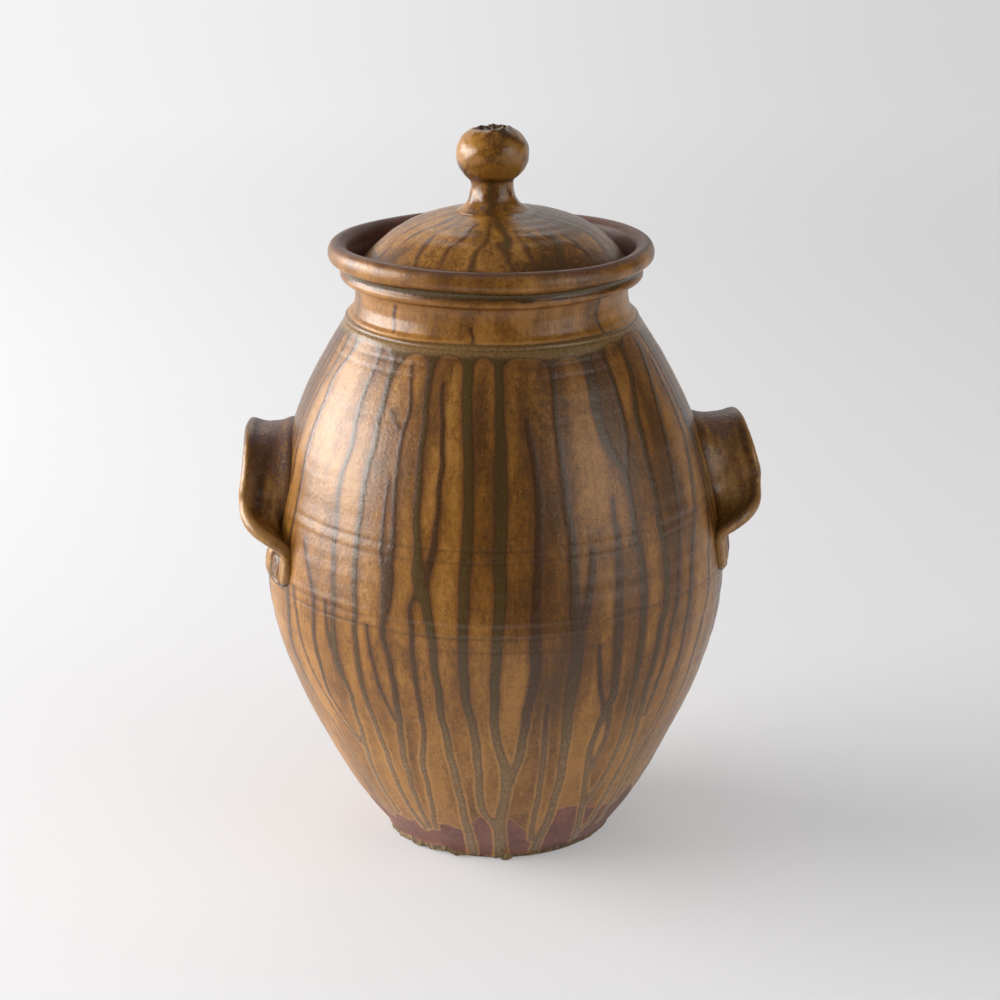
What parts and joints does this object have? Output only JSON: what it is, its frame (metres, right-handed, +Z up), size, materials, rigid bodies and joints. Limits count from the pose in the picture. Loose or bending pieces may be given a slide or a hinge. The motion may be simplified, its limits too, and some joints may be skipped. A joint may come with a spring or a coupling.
{
  "type": "olive jar",
  "caption": "Tall round-bellied stoneware storage jar with strap handles and a domed lid that lifts off by its ball knob.",
  "frame": {"origin": "centre of the flat base, on the surface that the jar stands on", "axes": "+Z up along the jar's axis; the handles lie near -X (left) and +X (right), both swung 5 degrees towards +Y, the back"},
  "size_m": [0.3341, 0.2946, 0.4598],
  "materials": {
    "body_glaze": "satin ash glaze, tan with dark olive and brown runs",
    "handle_glaze": "satin ash glaze, dark brown with tan edges",
    "lid_glaze": "satin ash glaze, speckled tan with dark streaks",
    "knob_glaze": "glossy amber ash glaze"
  },
  "bodies": {
    "jar": {"jar_body": "body_glaze", "jar_neck": "body_glaze", "left_handle": "handle_glaze", "right_handle": "handle_glaze"},
    "lid": {"lid": "lid_glaze", "lid_ring": "lid_glaze", "lid_knob": "knob_glaze"}
  },
  "joints": [
    {"name": "lid_lift", "type": "slide", "parent": "jar", "child": "lid", "axis": [0, 0, 1], "range_m": [0, 0.08]}
  ]
}
